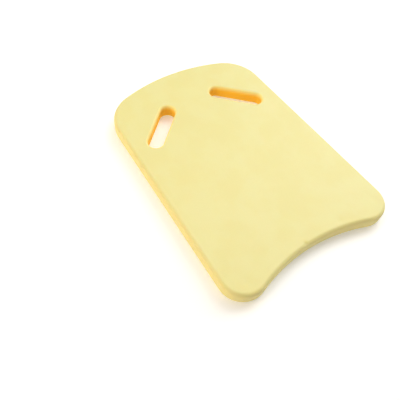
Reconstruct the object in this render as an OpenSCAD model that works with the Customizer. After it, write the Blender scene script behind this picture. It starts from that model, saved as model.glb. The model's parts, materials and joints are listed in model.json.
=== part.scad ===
// Swimming kickboard: one rigid float of closed-cell foam with two slanted grip slots.
// Three sheets of foam lie flat on each other and are bonded face to face.
// Origin: middle of the board's length and width, on its bottom face.
// +X across the board, +Y towards the rounded nose, +Z up. Millimetres.

/* [Board outline] */
// Overall length, from the crown of the nose to the tips of the tail
board_l = 430; // [350:1:540]
// Overall width, measured across the tail corners
board_w = 307; // [250:1:390]
// Radius of the shallow arc across the nose
nose_r = 310; // [250:1:450]
// Radius of the two shoulders, between the nose and the sides
shoulder_r = 68; // [45:1:90]
// Radius of the hollow across the tail
tail_r = 298; // [230:1:420]
// Radius of the two tail corners
tail_corner_r = 38; // [30:1:50]
// Lean of each side towards the nose, in degrees
side_lean = 1.5; // [0:0.1:4]

/* [Foam sheets] */
// Thickness of the top sheet and of the bottom sheet
skin_t = 8; // [5:0.5:12]
// Thickness of the middle sheet
core_t = 9; // [4:0.5:20]
// Radius of the routed edge, all round the top and all round the bottom
edge_r = 6; // [2:0.5:10]

/* [Grip slots] */
// Length of a slot, end to end
slot_l = 96; // [70:1:120]
// Width of a slot
slot_w = 26.5; // [20:0.5:34]
// Distance from the board's widest line in to a slot's middle
slot_from_side = 76.5; // [68:0.5:90]
// Distance from the crown of the nose back to a slot's middle
slot_from_nose = 106.5; // [95:0.5:150]
// Slant of a slot, in degrees: its outer end lies nearer the tail
slot_slant = 43; // [0:1:60]
// Radius of the eased lip round both mouths of a slot
slot_lip_r = 4; // [1:0.25:5]

/* [Hidden] */
$fn = 96;

foam_yellow = [0.96, 0.89, 0.58];

// The edge is a chain of bands swept along the outline's arcs and sides. A flat
// plate fills the middle and ends half way across the flat part of the bands.
band_w = 20;
plate_inset = (band_w + edge_r) / 2;

// Neighbouring bands meet smoothly. So that no two share one curved face, the nose,
// the hollow and the straight bands stand this much inside the rounded corners,
// and run this far into them.
tuck = 0.05;
tuck_l = 1;

// A slot is lined by narrower bands, let into an oversize hole in the plate.
lining_w = 8;
hole_growth = (lining_w + slot_lip_r) / 2;

// Steps in each arc of the plate's edge and of the hole's edge
arc_steps = 12;

// The routed edge leaves at least this much of the skin's wall upright
upright = 0.5;
routed_r = min(edge_r, skin_t - upright);
lip_r = min(slot_lip_r, skin_t - upright);

// Height of each sheet's lower face
core_z = skin_t;
top_z = skin_t + core_t;

// Middle of a tail corner
corner = [board_w / 2 - tail_corner_r, -board_l / 2 + tail_corner_r];

// Middle of the tail's hollow, which touches both corners from outside
hollow_y = corner.y - sqrt(pow(tail_r + tail_corner_r, 2) - pow(corner.x, 2));

// Middle of the arc across the nose, whose crown is at the overall length
nose_y = board_l / 2 + tuck - nose_r;

// Unit vectors out of the right side, and along it towards the nose
side_out = unit(side_lean);
side_up = unit(side_lean + 90);

// Middle of a shoulder, which touches the side line and, from inside, the nose arc
shoulder_out = corner * side_out + tail_corner_r - shoulder_r;
shoulder_up = nose_y * side_up.y
    + sqrt(pow(nose_r - shoulder_r, 2) - pow(shoulder_out - nose_y * side_out.y, 2));
shoulder = shoulder_out * side_out + shoulder_up * side_up;

// Directions, in degrees, at which one arc hands over to the next
nose_turn = atan2(shoulder.y - nose_y, shoulder.x);
hollow_turn = atan2(corner.y - hollow_y, corner.x);

// Length of the straight side
side_length = (shoulder - corner) * side_up;

// A slot's middle, and half of the distance between the middles of its round ends
slot_centre = [board_w / 2 - slot_from_side, board_l / 2 - slot_from_nose];
slot_half = (slot_l - slot_w) / 2;

function unit(angle) = [cos(angle), sin(angle)];

// Points in the middle of an arc's steps, so that none falls where two bands meet
function arc(centre, radius, from, to) =
    [for (i = [0:arc_steps - 1])
        centre + radius * unit(from + (to - from) * (i + 0.5) / arc_steps)];

function mirrored(points) =
    [for (i = [len(points) - 1:-1:0]) [-points[i].x, points[i].y]];

// Right half of the outline from nose to tail, drawn plate_inset inside the edge
function right_half() = concat(
    arc([0, nose_y], nose_r - plate_inset, 90, nose_turn),
    arc(shoulder, shoulder_r - plate_inset, nose_turn, side_lean),
    arc(corner, tail_corner_r - plate_inset, side_lean, hollow_turn - 180),
    arc([0, hollow_y], tail_r + plate_inset, hollow_turn, 90));

// Section of a band: its edge stands at x = 0 and it reaches back to x = -width.
// The router takes a square less a circle off the upper corner of the edge.
module band_section(width, height, radius) {
    difference() {
        translate([-width, 0])
            square([width, height]);
        if (radius > 0)
            translate([-radius, height - radius])
                difference() {
                    square(radius + 1);
                    circle(radius);
                }
    }
}

// Band along an arc that bulges outwards, from angle `from` to angle `to`
module outer_arc(centre, arc_r, from, to, height, radius) {
    translate(centre)
        rotate_extrude(angle = to - from, start = from)
            translate([arc_r, 0])
                band_section(band_w, height, radius);
}

// Band along an arc that curves into the board, so that its edge faces the centre
module inner_arc(centre, arc_r, from, to, width, height, radius) {
    translate(centre)
        rotate_extrude(angle = to - from, start = from)
            translate([arc_r, 0])
                mirror([1, 0])
                    band_section(width, height, radius);
}

// Straight band from `foot`, running along heading + 90 with its edge facing `heading`
module straight_band(foot, heading, length, width, height, radius) {
    translate(foot)
        rotate([0, 0, heading])
            translate([-tuck, length + tuck_l, 0])
                rotate([90, 0, 0])
                    linear_extrude(length + 2 * tuck_l)
                        band_section(width, height - tuck, radius);
}

// Extra turn, in degrees, that takes an arc of this radius a tuck_l further
function run_on(arc_r) = tuck_l / arc_r * 180 / PI;

// Shoulder, side and tail corner of the right half
module right_edge(height, radius) {
    outer_arc(shoulder, shoulder_r, side_lean, nose_turn, height, radius);
    straight_band(corner + tail_corner_r * side_out, side_lean, side_length,
        band_w, height, radius);
    outer_arc(corner, tail_corner_r, hollow_turn - 180, side_lean, height, radius);
}

module nose_edge(height, radius) {
    from = nose_turn - run_on(nose_r);
    outer_arc([0, nose_y], nose_r - tuck, from, 180 - from, height - tuck, radius);
}

module hollow_edge(height, radius) {
    from = hollow_turn - run_on(tail_r);
    inner_arc([0, hollow_y], tail_r + tuck, from, 180 - from, band_w, height - tuck, radius);
}

module board_edge(height, radius) {
    nose_edge(height, radius);
    hollow_edge(height, radius);
    right_edge(height, radius);
    mirror([1, 0, 0])
        right_edge(height, radius);
}

// The two round ends and the two straight walls of the right-hand slot
module slot_lining(height, radius) {
    for (turn = [0, 180]) {
        along = turn - slot_slant;
        inner_arc(slot_centre + slot_half * unit(along), slot_w / 2,
            along - 90, along + 90, lining_w, height, radius);
        straight_band(slot_centre - slot_half * unit(along) + slot_w / 2 * unit(along + 90),
            along - 90, 2 * slot_half, lining_w, height, radius);
    }
}

// Oversize outline of the right-hand slot, which its lining covers
module slot_hole() {
    polygon([for (turn = [0, 180]) let (along = turn - slot_slant)
        each arc(slot_centre + slot_half * unit(along), slot_w / 2 + hole_growth,
            along - 90, along + 90)]);
}

// Flat middle of a sheet, with an oversize hole for each slot's lining
module plate(height) {
    linear_extrude(height)
        difference() {
            polygon(concat(right_half(), mirrored(right_half())));
            slot_hole();
            mirror([1, 0])
                slot_hole();
        }
}

// One sheet of the board, with its routed edge and the slots' lips on the upper face
module sheet(height, edge, lip) {
    color(foam_yellow)
        union() {
            plate(height);
            board_edge(height, edge);
            slot_lining(height, lip);
            mirror([1, 0, 0])
                slot_lining(height, lip);
        }
}

module bottom_skin() {
    translate([0, 0, skin_t])
        mirror([0, 0, 1])
            sheet(skin_t, routed_r, lip_r);
}

module foam_core() {
    translate([0, 0, core_z])
        sheet(core_t, 0, 0);
}

module top_skin() {
    translate([0, 0, top_z])
        sheet(skin_t, routed_r, lip_r);
}

bottom_skin();
foam_core();
top_skin();
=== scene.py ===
"""Looks of a swimming kickboard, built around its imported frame.

The board is three sheets of closed-cell foam bonded face to face. Each sheet is one closed
surface. Each half of it is four patches: the upper face, the lower face, the edge that runs round
the outline and the lining of the grip slot. Everything is in metres, in the frame's own axes:
+X across the board, +Y towards the rounded nose, +Z up out of the top face.
"""

import json
import logging
import math
from dataclasses import dataclass, field
from enum import Enum

import bmesh
import bpy
import numpy as np
from mathutils import Matrix, Vector


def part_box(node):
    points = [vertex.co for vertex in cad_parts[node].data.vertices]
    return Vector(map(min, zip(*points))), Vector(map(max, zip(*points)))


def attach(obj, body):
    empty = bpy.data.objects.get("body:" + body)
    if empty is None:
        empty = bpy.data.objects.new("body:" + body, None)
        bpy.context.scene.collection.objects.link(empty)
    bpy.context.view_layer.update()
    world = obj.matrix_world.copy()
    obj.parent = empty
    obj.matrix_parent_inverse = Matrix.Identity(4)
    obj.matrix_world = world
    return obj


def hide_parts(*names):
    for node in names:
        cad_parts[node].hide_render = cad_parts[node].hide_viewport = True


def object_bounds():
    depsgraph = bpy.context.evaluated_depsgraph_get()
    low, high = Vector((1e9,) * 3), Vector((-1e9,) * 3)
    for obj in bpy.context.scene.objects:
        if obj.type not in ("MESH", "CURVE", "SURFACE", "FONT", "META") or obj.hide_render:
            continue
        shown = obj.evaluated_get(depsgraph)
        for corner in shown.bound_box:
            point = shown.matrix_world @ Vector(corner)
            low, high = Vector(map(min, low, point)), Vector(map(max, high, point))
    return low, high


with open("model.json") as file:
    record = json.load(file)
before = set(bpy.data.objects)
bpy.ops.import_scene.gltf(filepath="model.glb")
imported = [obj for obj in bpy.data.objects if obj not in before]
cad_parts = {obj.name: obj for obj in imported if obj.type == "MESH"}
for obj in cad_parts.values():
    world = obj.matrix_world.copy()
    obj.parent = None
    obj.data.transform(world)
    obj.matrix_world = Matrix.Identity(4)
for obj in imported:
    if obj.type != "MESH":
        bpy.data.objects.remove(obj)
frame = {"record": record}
CAD_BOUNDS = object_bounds()

LOG = logging.getLogger("kickboard")
MM = 0.001
WELD = 1e-6

Colour = tuple[float, float, float]
Place = tuple[float, float, float]


class Sheet(Enum):
    """The three sheets of foam, named as their nodes are."""

    BOTTOM = "bottom_skin"
    CORE = "foam_core"
    TOP = "top_skin"


class Shown(Enum):
    """Which of a sheet's faces is a face of the board, as its direction along Z."""

    UPPER = 1
    LOWER = -1
    NEITHER = 0


def unit(angle: np.ndarray | float) -> np.ndarray:
    """Unit vectors at angles in degrees, counted from +X towards +Y.

    Args:
        angle: one angle or an array of them.

    Returns:
        An array whose last axis holds (cosine, sine).
    """
    turn = np.radians(angle)
    return np.stack([np.cos(turn), np.sin(turn)], axis=-1)


def lattice_noise(x: np.ndarray, y: np.ndarray, cell: float, seed: int) -> np.ndarray:
    """Smooth seeded noise from -1 to 1.

    Random values stand on a square lattice. Between them the value is blended along each axis by
    the smooth step 6t^5 - 15t^4 + 10t^3.

    Args:
        x, y: positions in metres.
        cell: spacing of the lattice in metres.
        seed: which random lattice to use.

    Returns:
        One value for each position.
    """
    side = 64
    values = np.random.default_rng(seed).uniform(-1.0, 1.0, (side, side))
    u, v = x / cell + side / 2, y / cell + side / 2
    i, j = np.floor(u).astype(int), np.floor(v).astype(int)
    fu, fv = u - i, v - j
    fu, fv = (f**3 * (f * (6 * f - 15) + 10) for f in (fu, fv))
    i0, j0, i1, j1 = i % side, j % side, (i + 1) % side, (j + 1) % side
    low = values[i0, j0] * (1 - fu) + values[i1, j0] * fu
    high = values[i0, j1] * (1 - fu) + values[i1, j1] * fu
    return low * (1 - fv) + high * fv


def grid_corners(rows: int, columns: int) -> tuple[np.ndarray, ...]:
    """Point numbers at the corners of each cell of a grid whose points are counted row by row.

    Args:
        rows: points down the grid.
        columns: points across it.

    Returns:
        Four arrays with one number for each cell, in order round the cell.
    """
    index = np.arange(rows * columns).reshape(rows, columns)
    corners = (index[:-1, :-1], index[:-1, 1:], index[1:, 1:], index[1:, :-1])
    return tuple(corner.ravel() for corner in corners)


@dataclass(frozen=True)
class Arc:
    """Part of a circle: its centre, radius, first and last angle in degrees."""

    centre: tuple[float, float]
    radius: float
    first: float
    last: float
    hollow: bool = False

    @property
    def length(self) -> float:
        """Length along the arc."""
        return abs(math.radians(self.last - self.first)) * self.radius

    def trace(self, share: np.ndarray) -> tuple[np.ndarray, np.ndarray]:
        """Points and outward normals at shares 0..1: centre + radius * unit(angle)."""
        out = unit(self.first + (self.last - self.first) * share)
        return np.array(self.centre) + self.radius * out, -out if self.hollow else out


@dataclass(frozen=True)
class Line:
    """A straight stretch from start to end, with its outward direction in degrees."""

    start: tuple[float, float]
    end: tuple[float, float]
    outward: float

    @property
    def length(self) -> float:
        """Length of the stretch."""
        return math.dist(self.start, self.end)

    def trace(self, share: np.ndarray) -> tuple[np.ndarray, np.ndarray]:
        """Points and outward normals at shares 0..1: start + share * (end - start)."""
        a, b = np.array(self.start), np.array(self.end)
        return a + share[:, None] * (b - a), np.tile(unit(self.outward), (len(share), 1))


@dataclass
class Outline:
    """Right half of the board's outline, from the crown of the nose to the middle of the tail.

    Five stretches that touch without a corner: the nose arc, a shoulder, a side that leans
    inwards towards the nose, a tail corner and the hollow across the tail.
    """

    length: float
    width: float
    nose_radius: float = 310 * MM
    shoulder_radius: float = 68 * MM
    tail_radius: float = 298 * MM
    corner_radius: float = 38 * MM
    side_lean: float = 1.5
    spacing: float = 1.9 * MM
    fewest_steps: int = 8

    def stretches(self) -> list[Arc | Line]:
        """Works out where each stretch hands over to the next.

        The tail corner's centre follows from the overall size. The hollow's circle touches it
        from outside, the side is its tangent, and the shoulder's circle touches both the side
        and, from inside, the nose circle.

        Returns:
            The five stretches in order.
        """
        corner = np.array([self.width / 2 - self.corner_radius, -self.length / 2 + self.corner_radius])
        hollow_y = corner[1] - math.sqrt((self.tail_radius + self.corner_radius) ** 2 - corner[0] ** 2)
        nose_y = self.length / 2 - self.nose_radius
        out, up = unit(self.side_lean), unit(self.side_lean + 90)
        across = corner @ out + self.corner_radius - self.shoulder_radius
        reach = self.nose_radius - self.shoulder_radius
        along = nose_y * up[1] + math.sqrt(reach**2 - (across - nose_y * out[1]) ** 2)
        shoulder = across * out + along * up
        nose_turn = math.degrees(math.atan2(shoulder[1] - nose_y, shoulder[0]))
        hollow_turn = math.degrees(math.atan2(corner[1] - hollow_y, corner[0]))
        return [
            Arc((0.0, nose_y), self.nose_radius, 90.0, nose_turn),
            Arc(tuple(shoulder), self.shoulder_radius, nose_turn, self.side_lean),
            Line(
                tuple(shoulder + self.shoulder_radius * out),
                tuple(corner + self.corner_radius * out),
                self.side_lean,
            ),
            Arc(tuple(corner), self.corner_radius, self.side_lean, hollow_turn - 180),
            Arc((0.0, hollow_y), self.tail_radius, hollow_turn, 90.0, hollow=True),
        ]

    def stations(self) -> tuple[np.ndarray, np.ndarray]:
        """Steps along the five stretches, about one spacing at a time.

        Returns:
            Points, and unit normals that point out of the board. The first and the last stand
            exactly on the centre line.
        """
        points, normals = [], []
        stretches = self.stretches()
        for stretch in stretches:
            steps = max(round(stretch.length / self.spacing), self.fewest_steps)
            count = steps + 1 if stretch is stretches[-1] else steps
            p, n = stretch.trace(np.arange(count) / steps)
            points.append(p)
            normals.append(n)
        p, n = np.vstack(points), np.vstack(normals)
        p[[0, -1], 0] = 0.0
        n[[0, -1], 0] = 0.0
        return p, n


@dataclass
class Slot:
    """Right-hand grip slot: a straight slot with round ends, its outer end nearer the tail."""

    centre: tuple[float, float]
    length: float = 96 * MM
    width: float = 26.5 * MM
    slant: float = 43.0

    def wall(self, towards: np.ndarray) -> tuple[np.ndarray, np.ndarray]:
        """Where rays from the slot's middle meet its wall.

        In the slot's own axes a ray at angle a meets a straight wall at r / |sin a| from the
        middle, unless that lies past the straight part. There it meets the round end, at
        h |cos a| + sqrt(r^2 - h^2 sin^2 a), where h is half the distance between the round
        ends' centres and r their radius.

        Args:
            towards: points that the rays aim at, in the board's axes.

        Returns:
            The points on the wall, and unit normals from the slot into the foam.
        """
        axis = unit(-self.slant)
        across = unit(90 - self.slant)
        ray = towards - np.array(self.centre)
        x, y = ray @ axis, ray @ across
        size = np.hypot(x, y)
        c, s = x / size, y / size
        r = self.width / 2
        h = self.length / 2 - r
        straight = np.abs(c) * r <= np.abs(s) * h
        side_reach = r / np.maximum(np.abs(s), 1e-9)
        end_reach = h * np.abs(c) + np.sqrt(np.maximum(r**2 - (h * s) ** 2, 0.0))
        reach = np.where(straight, side_reach, end_reach)
        px, py = reach * c, reach * s
        nx = np.where(straight, 0.0, (px - np.sign(c) * h) / r)
        ny = np.where(straight, np.sign(s), py / r)
        point = np.array(self.centre) + px[:, None] * axis + py[:, None] * across
        return point, nx[:, None] * axis + ny[:, None] * across


def edge_section(low: float, high: float, low_r: float, high_r: float, steps: int) -> np.ndarray:
    """Section of an edge, from its top face down to its bottom face.

    A quarter circle of radius high_r, the upright wall, and a quarter circle of radius low_r.

    Args:
        low, high: heights of the bottom and the top face.
        low_r, high_r: radii of the rounded corners.
        steps: steps in a large quarter circle. One under 1 mm takes a third of them.

    Returns:
        Rows of (inset from the wall, height).
    """
    wall_rows = 5

    def quarter(radius: float) -> np.ndarray:
        """Angles of a quarter circle's points, in degrees."""
        return np.linspace(90.0, 0.0, (steps if radius > MM else max(steps // 3, 2)) + 1)

    top = unit(quarter(high_r)) * high_r
    foot = unit(-quarter(low_r)[::-1]) * low_r
    rise = np.linspace(high - high_r, low + low_r, wall_rows + 2)[1:-1]
    return np.vstack(
        [
            np.column_stack([high_r - top[:, 0], high - high_r + top[:, 1]]),
            np.column_stack([np.zeros(wall_rows), rise]),
            np.column_stack([low_r - foot[:, 0], low + low_r + foot[:, 1]]),
        ]
    )


@dataclass
class Patches:
    """Collects grids of points for one half of a sheet, and closes them into a mesh.

    Each grid comes with marks: how far a point counts as cut foam, how far it lies inside a slot,
    and the direction in which a hand-guided cutter strays.
    """

    points: list[np.ndarray] = field(default_factory=list)
    marks: list[np.ndarray] = field(default_factory=list)
    faces: list[np.ndarray] = field(default_factory=list)
    count: int = 0

    def add(self, xyz: np.ndarray, cut: np.ndarray, slot: float, pull: np.ndarray) -> None:
        """Adds one grid and its mirror image.

        Args:
            xyz: rows by columns of points.
            cut: rows by columns, 0 on a moulded face and 1 on a cut wall.
            slot: 1 inside a grip slot, 0 elsewhere.
            pull: rows by columns of (x, y) directions in which a cut strays.
        """
        rows, columns = xyz.shape[:2]
        a, b, c, d = grid_corners(rows, columns)
        marks = np.concatenate(
            [cut[..., None], np.full_like(cut, slot)[..., None], pull], axis=-1
        ).reshape(-1, 4)
        for mirror, quads in ((1.0, (a, b, c, d)), (-1.0, (d, c, b, a))):
            self.points.append(xyz.reshape(-1, 3) * (mirror, 1.0, 1.0))
            self.marks.append(marks * (1.0, 1.0, mirror, 1.0))
            self.faces.append(np.column_stack(quads) + self.count)
            self.count += rows * columns

    def closed(self) -> tuple[np.ndarray, np.ndarray, np.ndarray]:
        """Welds the points that neighbouring grids share into one.

        Points within the weld distance round to the same whole numbers and become one. Its marks
        are the mean of theirs. The rounding is shifted off the halves, so that no drawn size
        falls between two numbers.

        Returns:
            Points, marks and faces.
        """
        off_half = 0.37
        points, marks = np.vstack(self.points), np.vstack(self.marks)
        keys = np.round(points / WELD + off_half).astype(np.int64)
        _, first, same = np.unique(keys, axis=0, return_index=True, return_inverse=True)
        same = same.ravel()
        total = np.bincount(same)
        mean = np.column_stack([np.bincount(same, m) / total for m in marks.T])
        return points[first], mean, same[np.vstack(self.faces)]


@dataclass(frozen=True)
class Dent:
    """A small dent in both faces of the board: its middle, its spread and its depth."""

    x: float
    y: float
    size: float
    depth: float


@dataclass
class Handwork:
    """How far the real board strays from its drawing, always inwards from the nominal surface."""

    edge_stray: float = 0.28 * MM
    slot_stray: float = 0.22 * MM
    face_stray: float = 0.14 * MM
    face_reach: float = 5 * MM
    edge_cell: float = 46 * MM
    edge_finer: float = 4.0
    edge_seed: int = 7
    face_cell: float = 38 * MM
    face_finer: float = 3.0
    face_seed: int = 11
    broad: float = 0.35
    fine: float = 0.15
    dents: tuple[Dent, ...] = (
        Dent(-121 * MM, -193 * MM, 7 * MM, 0.5 * MM),
        Dent(131 * MM, -182 * MM, 5 * MM, 0.5 * MM),
        Dent(-139 * MM, 21 * MM, 4 * MM, 0.5 * MM),
        Dent(58 * MM, -187 * MM, 4 * MM, 0.5 * MM),
        Dent(12 * MM, 213 * MM, 6 * MM, 0.5 * MM),
        Dent(-12 * MM, -191 * MM, 3 * MM, 1.5 * MM),
    )

    def wander(
        self, x: np.ndarray, y: np.ndarray, cell: float, finer: float, seed: int
    ) -> np.ndarray:
        """Uneven share from 0 to 1: 0.5 + broad * noise + fine * noise with smaller cells.

        Args:
            x, y: positions in metres.
            cell: spacing of the broad noise.
            finer: how many times smaller the fine noise's cells are.
            seed: seed of the broad noise. The fine noise takes the next one.

        Returns:
            One share for each position.
        """
        coarse = 0.5 + self.broad * lattice_noise(x, y, cell, seed)
        return coarse + self.fine * lattice_noise(x, y, cell / finer, seed + 1)

    def stray(self, xyz: np.ndarray, marks: np.ndarray, shown: Shown) -> np.ndarray:
        """Points moved by the cutter's wander, the face's waviness and a few small dents.

        Along its pull a point moves by its stray times the wander there. Against the way its
        face looks it moves by face_stray times the face's wander, plus
        depth * exp(-(distance / size)^2) for each dent.

        Args:
            xyz: the nominal points.
            marks: their cut, slot and pull marks.
            shown: which of the sheet's faces is a face of the board.

        Returns:
            The moved points.
        """
        x, y = xyz[:, 0], xyz[:, 1]
        in_slot = marks[:, 1] > 0.5
        reach = np.where(in_slot, self.slot_stray, self.edge_stray)
        wander = self.wander(x, y, self.edge_cell, self.edge_finer, self.edge_seed)
        moved = xyz.copy()
        moved[:, :2] += marks[:, 2:4] * (reach * wander)[:, None]
        if shown is not Shown.NEITHER:
            sink = self.face_stray * self.wander(x, y, self.face_cell, self.face_finer, self.face_seed)
            for dent in self.dents:
                far = np.hypot(x - dent.x, y - dent.y) / dent.size
                sink = sink + dent.depth * np.exp(-(far**2))
            moved[:, 2] -= shown.value * sink * self.faceness(xyz, shown)
        return moved

    def faceness(self, xyz: np.ndarray, shown: Shown) -> np.ndarray:
        """Share of the face's waviness that a height takes: 1 - depth / face_reach, or none.

        Args:
            xyz: the nominal points.
            shown: which of the sheet's faces is a face of the board.

        Returns:
            One share for each point.
        """
        face = xyz[:, 2].max() if shown is Shown.UPPER else xyz[:, 2].min()
        depth = np.abs(face - xyz[:, 2]) / self.face_reach
        return np.clip(1.0 - depth, 0.0, 1.0)


@dataclass
class FoamSheet:
    """One sheet of the board, as a closed surface."""

    sheet: Sheet
    shown: Shown
    outline: Outline
    slot: Slot
    low_edge: float
    high_edge: float
    low_lip: float
    high_lip: float
    low_rings: int
    high_rings: int
    edge_steps: int = 10
    lip_steps: int = 8
    centre_line: float = 3.6 * MM
    stray_fade: float = 14 * MM

    def loop(self, inset: float) -> tuple[np.ndarray, np.ndarray]:
        """Closed loop round the right half: the outline drawn inwards, then the centre line.

        Args:
            inset: how far inside the outline the loop runs.

        Returns:
            The loop's points, the first one repeated at the end, and each point's outward
            normal, which is nought on the centre line.
        """
        points, normals = self.outline.stations()
        inner = points - inset * normals
        low, high = inner[-1, 1], inner[0, 1]
        steps = round(self.outline.length / self.centre_line)
        height = low + (high - low) * np.arange(1, steps + 1) / steps
        centre = np.column_stack([np.zeros(steps), height])
        return np.vstack([inner, centre]), np.vstack([normals, np.zeros((steps, 2))])

    def add_face(self, patches: Patches, height: float, edge: float, lip: float, rings: int) -> None:
        """Adds a flat face: straight lines from the slot's lip out to the loop round the half.

        A ring at share t stands at lip * (1 - s) + loop * s, where s = (1 - cos(pi t)) / 2, so
        that rings crowd together at both ends. The cutter's stray dies away from either end by
        (1 - distance / stray_fade)^2.

        Args:
            patches: where the face goes.
            height: height of the face.
            edge: radius of the rounded edge, at which the face ends.
            lip: radius of the slot's lip, at which the face begins.
            rings: steps from the lip to the edge.
        """
        outer, outward = self.loop(edge)
        aim, _ = self.loop(0.0)
        wall, into = self.slot.wall(aim)
        inner = wall + lip * into
        share = (1 - np.cos(np.pi * np.arange(rings + 1) / rings)) / 2
        gap = np.linalg.norm(outer - inner, axis=1)
        flat = inner + share[:, None, None] * (outer - inner)
        xyz = np.concatenate([flat, np.full(flat.shape[:2] + (1,), height)], axis=-1)
        near_lip = np.clip(1 - share[:, None] * gap / self.stray_fade, 0, 1) ** 2
        near_edge = np.clip(1 - (1 - share[:, None]) * gap / self.stray_fade, 0, 1) ** 2
        pull = near_lip[..., None] * into - near_edge[..., None] * outward
        patches.add(xyz, np.zeros(flat.shape[:2]), 0.0, pull)

    def add_wall(
        self, patches: Patches, foot: np.ndarray, into: np.ndarray, section: np.ndarray, slot: float
    ) -> None:
        """Adds a wall: its section carried along a path, its inset laid off into the foam.

        Args:
            patches: where the wall goes.
            foot: points of the path, where the wall stands upright.
            into: unit normals from there into the foam.
            section: rows of (inset, height).
            slot: 1 for a slot's lining, 0 for the outer edge.
        """
        flat = foot + section[:, 0, None, None] * into
        height = np.broadcast_to(section[:, 1, None, None], flat.shape[:2] + (1,))
        cut = np.broadcast_to(self.cutness(section)[:, None], flat.shape[:2])
        pull = np.broadcast_to(into, flat.shape)
        patches.add(np.concatenate([flat, height], axis=-1), cut, slot, pull)

    @staticmethod
    def cutness(section: np.ndarray) -> np.ndarray:
        """How far each row of a section is cut foam: 0 where it leaves the face, 1 on the wall."""
        inset = section[:, 0]
        return 1.0 - np.clip(inset / max(inset.max(), MM), 0.0, 1.0)

    def build(self, handwork: Handwork) -> bpy.types.Object:
        """Makes the sheet's mesh in place of its node.

        Args:
            handwork: how the sheet strays from its drawing.

        Returns:
            The new piece, at the origin, with the marks "cut" and "slot" on its points.
        """
        low_corner, high_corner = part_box(self.sheet.value)
        low, high = low_corner.z, high_corner.z
        patches = Patches()
        self.add_face(patches, high, self.high_edge, self.high_lip, self.high_rings)
        self.add_face(patches, low, self.low_edge, self.low_lip, self.low_rings)
        points, outward = self.outline.stations()
        section = edge_section(low, high, self.low_edge, self.high_edge, self.edge_steps)
        self.add_wall(patches, points, -outward, section, 0.0)
        wall, into = self.slot.wall(self.loop(0.0)[0])
        section = edge_section(low, high, self.low_lip, self.high_lip, self.lip_steps)
        self.add_wall(patches, wall, into, section, 1.0)
        points, marks, faces = patches.closed()
        points = handwork.stray(points, marks, self.shown)
        piece = mesh_piece(f"{self.sheet.value}_foam", points, faces)
        for name, values in (("cut", marks[:, 0]), ("slot", marks[:, 1])):
            layer = piece.data.attributes.new(name, "FLOAT", "POINT")
            layer.data.foreach_set("value", values.astype(np.float32))
        return piece


def mesh_piece(name: str, points: np.ndarray, faces: np.ndarray) -> bpy.types.Object:
    """Puts points and four-cornered faces into a new smooth-shaded object at the origin.

    Args:
        name: the object's name.
        points: rows of (x, y, z).
        faces: rows of four point numbers.

    Returns:
        The object, linked to the scene, with its faces turned outwards.
    """
    mesh = bpy.data.meshes.new(name)
    mesh.from_pydata(points, [], faces.tolist())
    work = bmesh.new()
    work.from_mesh(mesh)
    bmesh.ops.recalc_face_normals(work, faces=work.faces)
    work.to_mesh(mesh)
    work.free()
    mesh.shade_smooth()
    mesh.update()
    piece = bpy.data.objects.new(name, mesh)
    bpy.context.scene.collection.objects.link(piece)
    return piece


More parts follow.
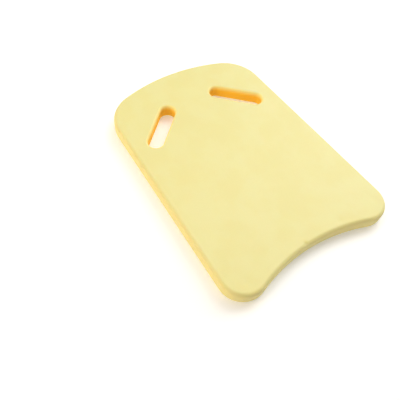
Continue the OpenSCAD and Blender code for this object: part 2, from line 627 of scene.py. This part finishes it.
@dataclass
class NodeBench:
    """A material's node tree, with a method for each kind of node that the foam needs."""

    tree: bpy.types.NodeTree

    def wire(self, value: bpy.types.NodeSocket | float | Colour, socket: bpy.types.NodeSocket) -> None:
        """Links a node's output to a socket, or sets the socket to a number or a colour.

        Args:
            value: an output, a number or a colour.
            socket: the input that takes it.
        """
        if isinstance(value, bpy.types.NodeSocket):
            self.tree.links.new(value, socket)
        elif isinstance(value, tuple):
            socket.default_value = (*value, 1.0)
        else:
            socket.default_value = value

    def place(self) -> bpy.types.NodeSocket:
        """Place on the piece, in metres from the origin."""
        return self.tree.nodes.new("ShaderNodeTexCoord").outputs["Object"]

    def height(self, place: bpy.types.NodeSocket) -> bpy.types.NodeSocket:
        """Height of a place above the board's bottom face.

        Args:
            place: the place.

        Returns:
            Its Z.
        """
        node = self.tree.nodes.new("ShaderNodeSeparateXYZ")
        self.wire(place, node.inputs[0])
        return node.outputs["Z"]

    def mark(self, name: str) -> bpy.types.NodeSocket:
        """One of the piece's own marks.

        Args:
            name: the mark's name.

        Returns:
            The mark as a number.
        """
        node = self.tree.nodes.new("ShaderNodeAttribute")
        node.attribute_name = name
        return node.outputs["Fac"]

    def noise(self, place: bpy.types.NodeSocket, scale: float, detail: float) -> bpy.types.NodeSocket:
        """Cloudy noise from 0 to 1.

        Args:
            place: where on the piece.
            scale: cells to the metre.
            detail: how many finer layers lie on it.

        Returns:
            The noise.
        """
        node = self.tree.nodes.new("ShaderNodeTexNoise")
        self.wire(scale, node.inputs["Scale"])
        self.wire(detail, node.inputs["Detail"])
        self.wire(place, node.inputs["Vector"])
        return node.outputs["Fac"]

    def cells(self, place: bpy.types.NodeSocket, scale: float) -> bpy.types.NodeSocket:
        """Round cells, as pores are.

        Args:
            place: where on the piece.
            scale: cells to the metre.

        Returns:
            Distance from the nearest cell's middle.
        """
        node = self.tree.nodes.new("ShaderNodeTexVoronoi")
        self.wire(scale, node.inputs["Scale"])
        self.wire(place, node.inputs["Vector"])
        return node.outputs["Distance"]

    def math(
        self, operation: str, first: bpy.types.NodeSocket, second: bpy.types.NodeSocket
    ) -> bpy.types.NodeSocket:
        """Two numbers put together.

        Args:
            operation: how, such as MULTIPLY or ADD.
            first, second: the numbers.

        Returns:
            The result.
        """
        node = self.tree.nodes.new("ShaderNodeMath")
        node.operation = operation
        self.wire(first, node.inputs[0])
        self.wire(second, node.inputs[1])
        return node.outputs[0]

    def span(self, value: bpy.types.NodeSocket, low: float, high: float) -> bpy.types.NodeSocket:
        """A number from 0..1 stretched to low..high.

        Args:
            value: the number.
            low, high: what 0 and 1 become.

        Returns:
            The stretched number.
        """
        node = self.tree.nodes.new("ShaderNodeMapRange")
        self.wire(low, node.inputs["To Min"])
        self.wire(high, node.inputs["To Max"])
        self.wire(value, node.inputs["Value"])
        return node.outputs["Result"]

    def steps(self, value: bpy.types.NodeSocket, low: float, high: float) -> bpy.types.NodeSocket:
        """A soft step from 0 at low to 1 at high.

        Args:
            value: the number that runs from low to high.
            low, high: where the step begins and ends.

        Returns:
            The step.
        """
        node = self.tree.nodes.new("ShaderNodeMapRange")
        node.interpolation_type = "SMOOTHSTEP"
        self.wire(low, node.inputs["From Min"])
        self.wire(high, node.inputs["From Max"])
        self.wire(value, node.inputs["Value"])
        return node.outputs["Result"]

    def mix(self, share: bpy.types.NodeSocket, low: float, high: float) -> bpy.types.NodeSocket:
        """A number between low and high.

        Args:
            share: how far it is from low to high.
            low, high: the two ends.

        Returns:
            The number.
        """
        node = self.tree.nodes.new("ShaderNodeMix")
        node.data_type = "FLOAT"
        self.wire(low, node.inputs["A"])
        self.wire(high, node.inputs["B"])
        self.wire(share, node.inputs["Factor"])
        return node.outputs["Result"]

    def blend(
        self, share: bpy.types.NodeSocket, low: bpy.types.NodeSocket | Colour, high: Colour
    ) -> bpy.types.NodeSocket:
        """A colour between low and high.

        Args:
            share: how far it is from low to high.
            low, high: the two ends.

        Returns:
            The colour.
        """
        node = self.tree.nodes.new("ShaderNodeMix")
        node.data_type = "RGBA"
        colour_factor, colour_a, colour_b, colour_result = 0, 6, 7, 2
        self.wire(share, node.inputs[colour_factor])
        self.wire(low, node.inputs[colour_a])
        self.wire(high, node.inputs[colour_b])
        return node.outputs[colour_result]

    def shaded(self, colour: bpy.types.NodeSocket, value: bpy.types.NodeSocket) -> bpy.types.NodeSocket:
        """A colour made lighter or darker.

        Args:
            colour: the colour.
            value: how many times lighter.

        Returns:
            The new colour.
        """
        node = self.tree.nodes.new("ShaderNodeHueSaturation")
        self.wire(colour, node.inputs["Color"])
        self.wire(value, node.inputs["Value"])
        return node.outputs["Color"]

    def bump(
        self,
        height: bpy.types.NodeSocket,
        strength: float,
        distance: float,
        under: bpy.types.NodeSocket | None = None,
    ) -> bpy.types.NodeSocket:
        """Relief from a height.

        Args:
            height: the height, from 0 to 1.
            strength: how much of the relief shows.
            distance: how high 1 stands, in metres.
            under: the relief that it lies on, if any.

        Returns:
            The relief's normal.
        """
        node = self.tree.nodes.new("ShaderNodeBump")
        self.wire(strength, node.inputs["Strength"])
        self.wire(distance, node.inputs["Distance"])
        self.wire(height, node.inputs["Height"])
        if under is not None:
            self.wire(under, node.inputs["Normal"])
        return node.outputs["Normal"]


@dataclass(frozen=True)
class FoamFinish:
    """Matt closed-cell foam: pale faces, deeper cut walls, faint mottling, fine pores.

    Inside a slot a painted gold deepens with depth, standing in for light bounced about inside
    the slot, and a painted glow on the lips stands in for light that soaks through the foam there.
    """

    name: str
    face: Colour = (0.858, 0.80, 0.352)
    mottled: Colour = (0.85, 0.78, 0.322)
    wall: Colour = (0.855, 0.73, 0.285)
    # Painted bounced light: the gold of a slot's walls stands in for light bounced about inside the slot.
    painted_slot_gold: Colour = (0.99, 0.59, 0.04)
    mottle_scale: float = 26.0
    mottle_detail: float = 3.0
    mottle_step: tuple[float, float] = (0.35, 0.65)
    speckle_scale: float = 850.0
    speckle_detail: float = 2.0
    speckle_shade: tuple[float, float] = (0.965, 1.035)
    gold_from: tuple[float, float] = (0.0, 3 * MM)
    gold_to: tuple[float, float] = (24.5 * MM, 14 * MM)
    grain: float = 0.05
    grain_height: float = 0.4 * MM
    pores: float = 0.25
    pore_scale: float = 900.0
    pore_height: float = 0.3 * MM
    roughness: float = 0.46
    wall_roughness: float = 0.72
    unevenness: float = 0.04
    specular: float = 0.5
    scatter: float = 0.18
    scatter_radius: Colour = (1.0, 0.62, 0.2)
    scatter_scale: float = 2 * MM
    # Painted glow: emission on the slot's lips, standing in for light that soaks through the foam.
    painted_glow_step: tuple[float, float] = (0.0, 0.6)
    painted_lip_glow_tint: Colour = (1.0, 0.80, 0.20)
    painted_deep_glow_tint: Colour = (1.0, 0.60, 0.03)
    lip_glow: float = 0.15
    deep_glow: float = 0.0

    def material(self) -> bpy.types.Material:
        """Builds the node material.

        Colour: face and mottled tint blend by a slow noise, the mark "cut" blends in the wall's
        colour, and "slot" times the depth in the slot blends in a painted gold that stands in for
        light bounced about inside the slot. Fine speckle lightens and darkens them. Relief: a fine
        grain everywhere, and round pores where "cut" is high.
        Painted glow, as emission, standing in for light that soaks through the foam to the slot's
        lips: "slot" times a soft step of "cut", less with depth.

        Returns:
            The material.
        """
        material = bpy.data.materials.new(self.name)
        material.use_nodes = True
        bench = NodeBench(material.node_tree)
        inputs = material.node_tree.nodes["Principled BSDF"].inputs
        place = bench.place()
        cut = bench.mark("cut")
        slot = bench.mark("slot")

        slow = bench.noise(place, self.mottle_scale, self.mottle_detail)
        speckle = bench.noise(place, self.speckle_scale, self.speckle_detail)
        colour = bench.blend(bench.steps(slow, *self.mottle_step), self.face, self.mottled)
        colour = bench.blend(cut, colour, self.wall)
        height = bench.height(place)
        # Painted bounced light: the slot's gold, blended in by depth, pale near the lip and the foot.
        above_foot = bench.steps(height, *self.gold_from)
        below_lip = bench.steps(height, *self.gold_to)
        deep = bench.math("MULTIPLY", above_foot, below_lip)
        colour = bench.blend(bench.math("MULTIPLY", deep, slot), colour, self.painted_slot_gold)
        colour = bench.shaded(colour, bench.span(speckle, *self.speckle_shade))
        bench.wire(colour, inputs["Base Color"])

        pore = bench.math("MULTIPLY", bench.cells(place, self.pore_scale), cut)
        grain = bench.bump(speckle, self.grain, self.grain_height)
        relief = bench.bump(pore, self.pores, self.pore_height, grain)
        bench.wire(relief, inputs["Normal"])

        rough = bench.mix(cut, self.roughness, self.wall_roughness)
        uneven = bench.span(slow, -self.unevenness, self.unevenness)
        bench.wire(bench.math("ADD", rough, uneven), inputs["Roughness"])
        inputs["Specular IOR Level"].default_value = self.specular
        inputs["Subsurface Weight"].default_value = self.scatter
        inputs["Subsurface Radius"].default_value = self.scatter_radius
        inputs["Subsurface Scale"].default_value = self.scatter_scale

        # Painted glow: emission on the slot's lips, strongest at the lip, none deep down.
        painted_glow_mask = bench.math("MULTIPLY", bench.steps(cut, *self.painted_glow_step), slot)
        amount = bench.mix(deep, self.lip_glow, self.deep_glow)
        bench.wire(bench.math("MULTIPLY", painted_glow_mask, amount), inputs["Emission Strength"])
        bench.wire(bench.blend(deep, self.painted_lip_glow_tint, self.painted_deep_glow_tint), inputs["Emission Color"])
        return material


@dataclass
class Board:
    """The whole board: three foam sheets with one outline and one pair of slots."""

    edge_radius: float = 6 * MM
    lip_radius: float = 4 * MM
    seam_radius: float = 0.12 * MM
    top_rings: int = 40
    under_rings: int = 30
    hidden_rings: int = 3
    slot_mount: str = "grip_slot_right"
    skin: FoamFinish = FoamFinish("skin_foam")
    core: FoamFinish = FoamFinish("core_foam", mottled=(0.86, 0.77, 0.33))

    def sheets(self) -> list[FoamSheet]:
        """Lays out the sheets from the bottom up.

        The outline's size is the frame's, and the slot's middle is its mount's.

        Returns:
            The three sheets.
        """
        low, high = CAD_BOUNDS
        outline = Outline(length=high[1] - low[1], width=high[0] - low[0])
        mounts = {m["name"]: m for m in frame["record"]["mounts"]}
        slot = Slot(centre=tuple(mounts[self.slot_mount]["pos_m"][:2]))
        seam, edge, lip, hidden = self.seam_radius, self.edge_radius, self.lip_radius, self.hidden_rings
        return [
            FoamSheet(
                Sheet.BOTTOM, Shown.LOWER, outline, slot, edge, seam, lip, seam, self.under_rings, hidden
            ),
            FoamSheet(Sheet.CORE, Shown.NEITHER, outline, slot, seam, seam, seam, seam, hidden, hidden),
            FoamSheet(
                Sheet.TOP, Shown.UPPER, outline, slot, seam, edge, seam, lip, hidden, self.top_rings
            ),
        ]

    def build(self) -> list[bpy.types.Object]:
        """Builds and dresses each sheet from the bottom up.

        Returns:
            The three pieces.
        """
        skin, core = self.skin.material(), self.core.material()
        handwork = Handwork()
        pieces = []
        for sheet in self.sheets():
            piece = sheet.build(handwork)
            piece.data.materials.append(core if sheet.sheet is Sheet.CORE else skin)
            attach(piece, "root")
            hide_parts(sheet.sheet.value)
            LOG.info("%s: %d faces", piece.name, len(piece.data.polygons))
            pieces.append(piece)
        return pieces


@dataclass(frozen=True)
class Softbox:
    """A square soft light that looks at the origin: place, side in metres, watts and colour."""

    name: str
    place: Place
    size: float
    power: float
    colour: Colour = (1.0, 1.0, 1.0)

    def hang(self) -> None:
        """Puts the light into the scene."""
        lamp = bpy.data.lights.new(self.name, "AREA")
        lamp.shape = "SQUARE"
        lamp.size = self.size
        lamp.energy = self.power
        lamp.color = self.colour
        holder = bpy.data.objects.new(self.name, lamp)
        holder.location = self.place
        holder.rotation_euler = (-Vector(self.place)).to_track_quat("-Z", "Y").to_euler()
        bpy.context.scene.collection.objects.link(holder)


@dataclass
class Studio:
    """Pale floor, soft light and the camera."""

    floor_half: float = 12.0
    floor_steps: int = 72
    flat_radius: float = 2.5
    curl: float = 0.35
    floor_colour: Colour = (0.93, 0.93, 0.93)
    floor_roughness: float = 0.9
    floor_specular: float = 0.1
    floor_glow: float = 0.22
    sky_strength: float = 0.12
    softboxes: tuple[Softbox, ...] = (
        Softbox("key_softbox", (2.1, 0.9, 2.5), 2.0, 57.0),
        Softbox("overhead_softbox", (-0.1, 0.8, 2.3), 2.2, 20.5),
        Softbox("right_softbox", (1.8, -0.2, 0.6), 0.8, 9.0),
        Softbox("left_softbox", (-1.5, 0.2, 0.75), 1.0, 13.5, (1.0, 0.80, 0.54)),
    )
    aim: Place = (-0.0981, -0.0432, 0.0125)
    azimuth: float = 39.151
    depression: float = 56.190
    roll: float = 7.262
    distance: float = 0.67795
    lens: float = 39.6
    clip_start: float = 0.01

    def build(self) -> None:
        """Makes the floor, the light and the camera."""
        self.add_floor()
        self.add_sky()
        for softbox in self.softboxes:
            softbox.hang()
        self.add_camera()

    def add_floor(self) -> None:
        """A square sheet, flat round the board, that rises far away as a studio's backdrop does.

        Height: curl * ((r - flat_radius) / flat_radius)^2 past the flat radius, nought inside.
        """
        side = np.linspace(-self.floor_half, self.floor_half, self.floor_steps + 1)
        x, y = np.meshgrid(side, side, indexing="ij")
        past = np.clip((np.hypot(x, y) - self.flat_radius) / self.flat_radius, 0.0, None)
        xyz = np.stack([x, y, self.curl * past**2], axis=-1).reshape(-1, 3)
        a, b, c, d = grid_corners(*x.shape)
        mesh = bpy.data.meshes.new("floor")
        mesh.from_pydata(xyz, [], np.column_stack([a, d, c, b]).tolist())
        mesh.shade_smooth()
        floor = bpy.data.objects.new("floor", mesh)
        bpy.context.scene.collection.objects.link(floor)
        paint = bpy.data.materials.new("pale_floor")
        paint.use_nodes = True
        inputs = paint.node_tree.nodes["Principled BSDF"].inputs
        inputs["Base Color"].default_value = (*self.floor_colour, 1.0)
        inputs["Roughness"].default_value = self.floor_roughness
        inputs["Specular IOR Level"].default_value = self.floor_specular
        inputs["Emission Color"].default_value = (1.0, 1.0, 1.0, 1.0)
        inputs["Emission Strength"].default_value = self.floor_glow
        mesh.materials.append(paint)

    def add_sky(self) -> None:
        """Even white light from all round."""
        world = bpy.data.worlds.new("studio")
        world.use_nodes = True
        sky = world.node_tree.nodes["Background"]
        sky.inputs["Color"].default_value = (1.0, 1.0, 1.0, 1.0)
        sky.inputs["Strength"].default_value = self.sky_strength
        bpy.context.scene.world = world

    def add_camera(self) -> None:
        """A camera at a distance from the aim, looking along an azimuth and down, then rolled."""
        turn, down, roll = (math.radians(a) for a in (self.azimuth, self.depression, self.roll))
        ahead = Vector((math.sin(turn) * math.cos(down), math.cos(turn) * math.cos(down), -math.sin(down)))
        level = ahead.cross(Vector((0.0, 0.0, 1.0))).normalized()
        above = level.cross(ahead)
        right = level * math.cos(roll) + above * math.sin(roll)
        up = right.cross(ahead)
        place = Vector(self.aim) - ahead * self.distance
        lens = bpy.data.cameras.new("camera")
        lens.lens = self.lens
        lens.clip_start = self.clip_start
        camera = bpy.data.objects.new("camera", lens)
        axes = Matrix((right, up, -ahead)).transposed()
        camera.matrix_world = Matrix.Translation(place) @ axes.to_4x4()
        bpy.context.scene.collection.objects.link(camera)
        bpy.context.scene.camera = camera


def main() -> None:
    """Builds the board and its studio."""
    logging.basicConfig(level=logging.INFO, format="%(name)s: %(message)s")
    bpy.context.scene.view_settings.view_transform = "Standard"
    Board().build()
    Studio().build()


if __name__ == "__main__":
    main()
